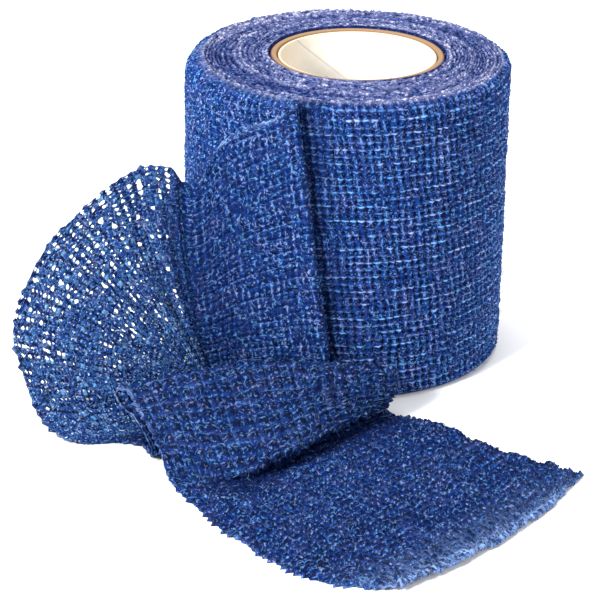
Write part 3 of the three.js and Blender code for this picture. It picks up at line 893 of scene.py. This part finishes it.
class BANDAGE_OT_core(bpy.types.Operator):
    """Turns the cardboard core and its paper lining"""

    bl_idname = "bandage.core"
    bl_label = "Core and lining"

    def execute(self, context):
        foot, top = CORE_LOW.z / MM, CORE_HIGH.z / MM
        outer = (CORE_HIGH.x - CORE_LOW.x) / 2 / MM
        card = [
            (CARD_BORE, foot, 0),
            (outer - 0.09, foot, 0),
            (outer, foot + 0.09, 0),
            (outer, top - 0.14, 1),
            (outer - 0.14, top, 1),
            (outer - 0.34, top + 0.02, 0.15),
            (outer - 0.6, top, 0),
            (CARD_BORE + 0.07, top, 0.1),
            (CARD_BORE, top - 0.07, 0.3),
        ]
        tube = sleeve("card_tube", card, card_material())
        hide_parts("core_tube")
        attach(tube, "root")

        low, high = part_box("core_liner")
        outer, rim = (high.x - low.x) / 2 / MM, high.z / MM
        lining = [
            (LINING_BORE, foot, 0),
            (outer, foot, 0),
            (outer, rim - 0.05, 0),
            (outer - 0.05, rim, 1),
            (LINING_BORE + 0.05, rim, 1),
            (LINING_BORE, rim - 0.05, 1),
            (LINING_BORE, rim - 0.3, 0),
        ]
        liner = sleeve("paper_liner", lining, paper_material())
        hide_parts("core_liner")
        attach(liner, "root")
        return {"FINISHED"}


class LaidTape:
    """The loose tape as a grid, with QUADS steps to each weave cell both ways."""

    def __init__(self, rib_pitch, threads):
        surface = TapeSurface()
        self.fine, self.puckers, self.cells = surface.rib_places(rib_pitch)
        self.threads = threads
        u = np.arange(self.cells * QUADS + 1) / QUADS
        v = np.arange(threads * QUADS + 1) / QUADS
        self.at = np.interp(u, self.puckers, self.fine)
        self.share = v / threads
        self.uu, self.vv = np.meshgrid(u, v, indexing="ij")
        self.grid = surface.points(self.at, self.share)
        self.shift_u, self.shift_v = np.zeros_like(self.uu), np.zeros_like(self.vv)
        self.kept = np.ones((self.cells * QUADS, threads * QUADS), bool)
        self.in_strip = self.within("strip")

    def within(self, name):
        """How far each point of the grid lies within a zone."""
        return np.interp(self.uu, self.puckers, zone(ZONES[name], self.fine))

    def row_at(self, rib):
        """The grid's row at the pucker nearest to a rib."""
        return int(round(np.interp(rib, self.fine, self.puckers))) * QUADS

    def weave(self):
        """The drifted weave cells and the height of the puckers, which are twice as coarse on the pleat."""
        u2, v2 = drift(self.uu, self.vv, TAPE_SEED)
        coarse = self.within("coarse pleat") + 0.45 * self.within("coarse flap")
        puff = pucker(u2, v2, TAPE_SEED) * (1 - 0.8 * coarse)
        puff = puff + pucker(u2 / 2, v2 / 2, COARSE_SEED) * 1.5 * coarse
        puff = puff + self.in_strip * (0.3 * soft_noise(self.uu, self.vv * 0.8, 62) + 0.15)
        return u2, v2, puff

    def cut_holes(self):
        """Opens the middle two by two quads of a cell, by chance and where the cloth is drawn out."""
        cu, cv = np.meshgrid(np.arange(self.cells), np.arange(self.threads), indexing="ij")
        rib, width = self.at[cu * QUADS], self.share[cv * QUADS]
        hole = cell_noise(cu, cv, 43) < hole_chance(cu, cv, rib, width)
        hole[0], hole[-1], hole[:, 0] = False, False, False
        joined = hole[:, :-1] & hole[:, 1:] & (cell_noise(cu[:, 1:], cv[:, 1:], 45) < JOINED_HOLES)
        hu, hv = cu[hole] * QUADS, cv[hole] * QUADS
        ju, jv = cu[:, :-1][joined] * QUADS, cv[:, :-1][joined] * QUADS
        for i in (1, 2):
            for j in (1, 2):
                self.kept[hu + i, hv + j] = False
                self.kept[ju + i, jv + j + 2] = False
        size = (0.25 + cell_noise(cu, cv, 44) ** 1.4) * (1 - 0.4 * smooth_step(14.2, 15.6, rib))
        for i in (1, 2, 3):
            for j in (1, 2, 3):
                grow = size[hole] * (0.8 if i != 2 and j != 2 else 1.1)
                wander = cell_noise(cu[hole] * 3 + i, cv[hole] * 3 + j, 46) * 0.22 - 0.11
                self.shift_u[hu + i, hv + j] = (i - 2) / QUADS * (0.8 * grow - 1) + wander
                stretch = np.minimum(1.45 * grow, 1.7)
                self.shift_v[hu + i, hv + j] = (j - 2) / QUADS * (stretch - 1) - wander * 0.7

    def draw_edges(self):
        """Draws each selvage out to a point at each rib, no two alike, and leaves the cut end uneven.
        Gives back how near each point is to a selvage."""
        nearest = np.floor(self.uu + 0.5)
        point = (1 - 2 * np.abs(self.uu - nearest)) * (0.1 + 0.9 * cell_noise(nearest, 0.0, 47) ** 1.5)
        outer_edge = smooth_step(1.6, 0, self.threads - self.vv)
        inner_edge = smooth_step(1.6, 0, self.vv)
        reach = 0.55 + 0.4 * self.within("long teeth") + 0.35 * self.in_strip
        teeth = reach * (point + 0.55 * soft_noise(self.uu * 0.37, 3.5, 50)) - 0.5
        self.shift_v = self.shift_v + (outer_edge - inner_edge) * teeth
        cut = smooth_step(1.2, 0, self.cells - self.uu)
        self.shift_u = self.shift_u - cut * (0.25 + 0.3 * soft_noise(self.vv * 0.9, 7.5, 48))
        return outer_edge + inner_edge

    def skins(self, relief, gauge):
        """The cloth's upper and lower skins, kept above the table."""
        normals = grid_normals(self.grid)
        points = self.grid + np.gradient(self.grid, axis=0) * QUADS * self.shift_u[..., None]
        points = points + np.gradient(self.grid, axis=1) * QUADS * self.shift_v[..., None]
        made = []
        for side, lowest in ((1, UPPER_SKIN_LOW), (-1, LOWER_SKIN_LOW)):
            skin = points + normals * (relief + side * gauge / 2)[..., None]
            skin[..., 2] = np.maximum(skin[..., 2], lowest)
            made.append(skin)
        return made

    def pale(self):
        """How pale each point is, on the outer selvage of the flap and pleat and at the frayed cut end."""
        from_end = self.cells - self.uu
        broken = np.clip(0.45 + 0.9 * soft_noise(self.uu * 1.3, 0.0, 49), 0, 1)
        edges = 1.4 * self.within("pale flap edge") + self.within("pale pleat edge")
        edges = smooth_step(0.9, 0.1, self.threads - self.vv) * broken * edges
        frayed = smooth_step(2.2 + 2.6 * self.share**2, 0.5, from_end)
        frayed = frayed * (0.75 + 0.35 * soft_noise(self.vv * 2.2, 0.0, 51)) * smooth_step(0.02, 0.2, self.share)
        paler_towards_end = (0.08 + 0.2 * self.share) * smooth_step(9, 2, from_end)
        return np.maximum(edges, np.maximum(frayed, paler_towards_end))

    def shade(self):
        """How far each point lies in shade, where the flap meets the lobe and in the tuck below the pleat."""
        behind = self.within("flap's shadow") * smooth_step(1.05, 0.6, self.share) * 0.4
        ends = smooth_step(-0.02, 0.08, self.share) * smooth_step(0.92, 0.7, self.share)
        return np.maximum(behind, self.within("tuck") * ends)


def hole_chance(cu, cv, rib, width):
    """How likely each weave cell is to be open."""
    patch = soft_noise(cu * 0.19, cv * 0.23, 41) * 0.3 + soft_noise(cu * 0.41, cv * 0.47, 42) * 0.25
    chance = LOBE["chance"] + patch
    for entry in HOLE_BANDS:
        chance = chance + entry["chance"] * zone(entry["width"], width) * zone(entry["ribs"], rib)
    chance = zone(LOBE["ribs"], rib) * zone(LOBE["width"], width) * np.clip(chance, 0, LOBE["most"])
    return np.maximum(chance, COMB["chance"] * zone(COMB["width"], width) * zone(COMB["ribs"], rib))


class BANDAGE_OT_loose_tape(bpy.types.Operator):
    """Lays the loose tape: flap, sheer lobe, pleat and strip"""

    bl_idname = "bandage.loose_tape"
    bl_label = "Loose tape"

    def execute(self, context):
        s = sizes()
        tape = LaidTape(s.rib_pitch / MM, s.thread_count)
        u2, v2, puff = tape.weave()
        tape.cut_holes()
        near_edge = tape.draw_edges()
        relief = s.crepe_depth / MM * puff * (1 + 0.45 * tape.in_strip)
        ruffle = tape.in_strip * near_edge * np.abs(soft_noise(tape.uu * 0.4, tape.vv * 0.3, 63)) * 0.9
        skins = tape.skins(relief + ruffle, s.gauge / MM)
        rise, sheer, pale, shade = np.clip(0.5 + puff, 0, 1), tape.within("sheer"), tape.pale(), tape.shade()
        for part in TAPE_PARTS:
            first, last = (tape.row_at(rib) for rib in part["ribs"])
            rows = slice(first, last + 1)
            both = np.concatenate([skin[rows].reshape(-1, 3) for skin in skins])
            uv = np.tile(np.stack([u2[rows], v2[rows]], -1).reshape(-1, 2), (2, 1))
            values = [np.tile(value[rows].ravel(), 2) for value in (rise, sheer, pale, shade)]
            both, faces, uv, *values = used_only(both, sheet_faces(tape.kept[first:last]), uv, *values)
            values = dict(zip(("rise", "sheer", "pale", "shade"), values))
            piece = mesh_piece(part["name"], both, faces.tolist(), uv, values, crepe_material(part["cloth"]))
            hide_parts("loose_end")
            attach(piece, "root")
        return {"FINISHED"}


def fibre_object():
    """One short bowed fibre, three-sided, about a millimetre long."""
    rings, sides = FIBRE["rings"], FIBRE["sides"]
    points, faces = [], []
    for i in range(rings):
        t = i / (rings - 1)
        thick = FIBRE["radius"] * (1 - FIBRE["taper"] * abs(2 * t - 1))
        x, bow = (t - 0.5) * FIBRE["length"], FIBRE["bow"] * math.sin(math.pi * t)
        for k in range(sides):
            a = 2 * math.pi * k / sides
            points.append((x * MM, thick * math.cos(a) * MM, (thick * math.sin(a) + bow) * MM))
    for i in range(rings - 1):
        for k in range(sides):
            a, b = i * sides + k, i * sides + (k + 1) % sides
            faces.append((a, b, b + sides, a + sides))
    faces.append((2, 1, 0))
    faces.append(tuple(range((rings - 1) * sides, rings * sides)))
    mesh = bpy.data.meshes.new("fibre")
    mesh.from_pydata(points, [], faces)
    mesh.shade_smooth()
    return linked("fibre", mesh)


def fibre_tree(material):
    """Strews fibres over a surface, each lying along it at a random turn and tilt."""
    tree = bpy.data.node_groups.new("strew_fibres", "GeometryNodeTree")
    for name, kind in (("Geometry", "Geometry"), ("Fibre", "Object"), ("Density", "Float"), ("Seed", "Int")):
        tree.interface.new_socket(name, in_out="INPUT", socket_type="NodeSocket" + kind)
    tree.interface.new_socket("Geometry", in_out="OUTPUT", socket_type="NodeSocketGeometry")
    new, link = tree.nodes.new, tree.links.new
    start, end = new("NodeGroupInput"), new("NodeGroupOutput")
    strew = new("GeometryNodeDistributePointsOnFaces")
    link(start.outputs["Geometry"], strew.inputs["Mesh"])
    link(start.outputs["Density"], strew.inputs["Density"])
    link(start.outputs["Seed"], strew.inputs["Seed"])
    info = new("GeometryNodeObjectInfo")
    link(start.outputs["Fibre"], info.inputs["Object"])
    spin = new("FunctionNodeRandomValue")
    spin.data_type = "FLOAT_VECTOR"
    spin.inputs[0].default_value, spin.inputs[1].default_value = FIBRE_TILT
    turn = new("FunctionNodeRotateRotation")
    turn.rotation_space = "LOCAL"
    link(strew.outputs["Rotation"], turn.inputs[0])
    link(spin.outputs[0], turn.inputs[1])
    size = new("FunctionNodeRandomValue")
    size.data_type = "FLOAT"
    size.inputs[2].default_value, size.inputs[3].default_value = FIBRE_SCALE
    stand = new("GeometryNodeInstanceOnPoints")
    link(strew.outputs["Points"], stand.inputs["Points"])
    link(info.outputs["Geometry"], stand.inputs["Instance"])
    link(turn.outputs[0], stand.inputs["Rotation"])
    link(size.outputs[1], stand.inputs["Scale"])
    real = new("GeometryNodeRealizeInstances")
    link(stand.outputs[0], real.inputs[0])
    paint = new("GeometryNodeSetMaterial")
    paint.inputs["Material"].default_value = material
    link(real.outputs[0], paint.inputs["Geometry"])
    link(paint.outputs[0], end.inputs[0])
    return tree


def strewn(cloth, tree, fibre, density, seed):
    """Fibres over a piece of cloth, as a plain mesh."""
    host = linked("host", bpy.data.objects[cloth].data)
    modifier = host.modifiers.new("strew", "NODES")
    modifier.node_group = tree
    ids = {item.name: item.identifier for item in tree.interface.items_tree if item.in_out == "INPUT"}
    modifier[ids["Fibre"]] = fibre
    modifier[ids["Density"]] = float(density)
    modifier[ids["Seed"]] = seed
    mesh = bpy.data.meshes.new_from_object(host.evaluated_get(bpy.context.evaluated_depsgraph_get()))
    bpy.data.objects.remove(host)
    return mesh


class BANDAGE_OT_fibres(bpy.types.Operator):
    """Strews loose light fibres over the crepe"""

    bl_idname = "bandage.fibres"
    bl_label = "Loose fibres"

    def execute(self, context):
        s = sizes()
        material = fibre_material()
        tree = fibre_tree(material)
        fibre = fibre_object()
        tape = [part["name"] for part in TAPE_PARTS]
        for name, cloths, density, seed in (
            ("roll_fibres", ["roll_turns"], s.roll_fibres, ROLL_FIBRE_SEED),
            ("tape_fibres", tape, s.tape_fibres, TAPE_FIBRE_SEED),
        ):
            points, faces, base = [], [], 0
            for k, cloth in enumerate(cloths):
                strands = strewn(cloth, tree, fibre, density, seed + k)
                place = np.zeros(len(strands.vertices) * 3, np.float32)
                strands.vertices.foreach_get("co", place)
                points.append(place.reshape(-1, 3))
                faces += [[base + k for k in polygon.vertices] for polygon in strands.polygons]
                base += len(strands.vertices)
                bpy.data.meshes.remove(strands)
            place = np.concatenate(points)
            place[:, 2] = np.maximum(place[:, 2], FIBRE_LOW * MM)
            mesh = bpy.data.meshes.new(name)
            mesh.from_pydata(place.tolist(), [], faces)
            mesh.shade_smooth()
            mesh.materials.append(material)
            piece = linked(name, mesh)
            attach(piece, "root")
        bpy.data.objects.remove(fibre)
        return {"FINISHED"}


class BANDAGE_OT_stage(bpy.types.Operator):
    """Sets the pale floor, the soft lights and the camera"""

    bl_idname = "bandage.stage"
    bl_label = "Stage"

    def execute(self, context):
        scene = context.scene
        corners = [(x * FLOOR_HALF, y * FLOOR_HALF, 0) for x, y in ((-1, -1), (1, -1), (1, 1), (-1, 1))]
        floor = bpy.data.meshes.new("floor")
        floor.from_pydata(corners, [], [(0, 1, 2, 3)])
        floor.materials.append(Nodes("pale_floor").finish(colours().floor, 0.9))
        ground = linked("floor", floor)

        world = bpy.data.worlds.new("studio")
        world.use_nodes = True
        sky = world.node_tree.nodes["Background"]
        sky.inputs["Color"].default_value = (1.0, 1.0, 1.0, 1.0)
        sky.inputs["Strength"].default_value = SKY_STRENGTH
        scene.world = world

        aim = Vector((CAMERA_AIM[0] + ROLL_AXIS[0], CAMERA_AIM[1] + ROLL_AXIS[1], CAMERA_AIM[2])) * MM
        for entry in LAMPS:
            lamp = bpy.data.lights.new(entry["name"], "AREA")
            lamp.size = entry["width"]
            lamp.energy = entry["energy"]
            light = linked(entry["name"], lamp)
            light.location = Vector(entry["place"])
            light.rotation_euler = (aim - light.location).to_track_quat("-Z", "Y").to_euler()

        back = Vector((0, -math.cos(CAMERA_ELEVATION), math.sin(CAMERA_ELEVATION)))
        right = Vector((1, 0, 0))
        up = right.cross(-back).normalized()
        across_view = right * math.cos(CAMERA_ROLL) + up * math.sin(CAMERA_ROLL)
        up_view = up * math.cos(CAMERA_ROLL) - right * math.sin(CAMERA_ROLL)
        lens = bpy.data.cameras.new("camera")
        lens.lens = CAMERA_LENS
        lens.sensor_width = CAMERA_SENSOR
        lens.clip_start = CAMERA_NEAR
        camera = linked("camera", lens)
        turned = Matrix((across_view, up_view, back)).transposed().to_4x4()
        camera.matrix_world = Matrix.Translation(aim + back * CAMERA_DISTANCE * MM) @ turned
        scene.camera = camera
        scene.view_settings.view_transform = "Standard"
        return {"FINISHED"}


class BANDAGE_PT_panel(bpy.types.Panel):
    """Lists the steps that build the roll"""

    bl_label = "Bandage roll"
    bl_idname = "BANDAGE_PT_panel"
    bl_space_type = "VIEW_3D"
    bl_region_type = "UI"
    bl_category = "Bandage"

    def draw(self, context):
        layout = self.layout
        for group in (context.scene.bandage_sizes, context.scene.bandage_colours):
            for key in group.__annotations__:
                layout.prop(group, key)
        for step in STEPS:
            layout.operator(step.bl_idname)


STEPS = (BANDAGE_OT_wound_roll, BANDAGE_OT_core, BANDAGE_OT_loose_tape, BANDAGE_OT_fibres, BANDAGE_OT_stage)
CLASSES = (RollSizes, RollColours, *STEPS, BANDAGE_PT_panel)


def register():
    for cls in CLASSES:
        bpy.utils.register_class(cls)
    bpy.types.Scene.bandage_sizes = PointerProperty(type=RollSizes)
    bpy.types.Scene.bandage_colours = PointerProperty(type=RollColours)


def unregister():
    del bpy.types.Scene.bandage_colours
    del bpy.types.Scene.bandage_sizes
    for cls in reversed(CLASSES):
        bpy.utils.unregister_class(cls)


def main():
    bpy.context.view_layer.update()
    register()
    bpy.ops.bandage.wound_roll()
    bpy.ops.bandage.core()
    bpy.ops.bandage.loose_tape()
    bpy.ops.bandage.fibres()
    bpy.ops.bandage.stage()


if __name__ == "__main__":
    main()
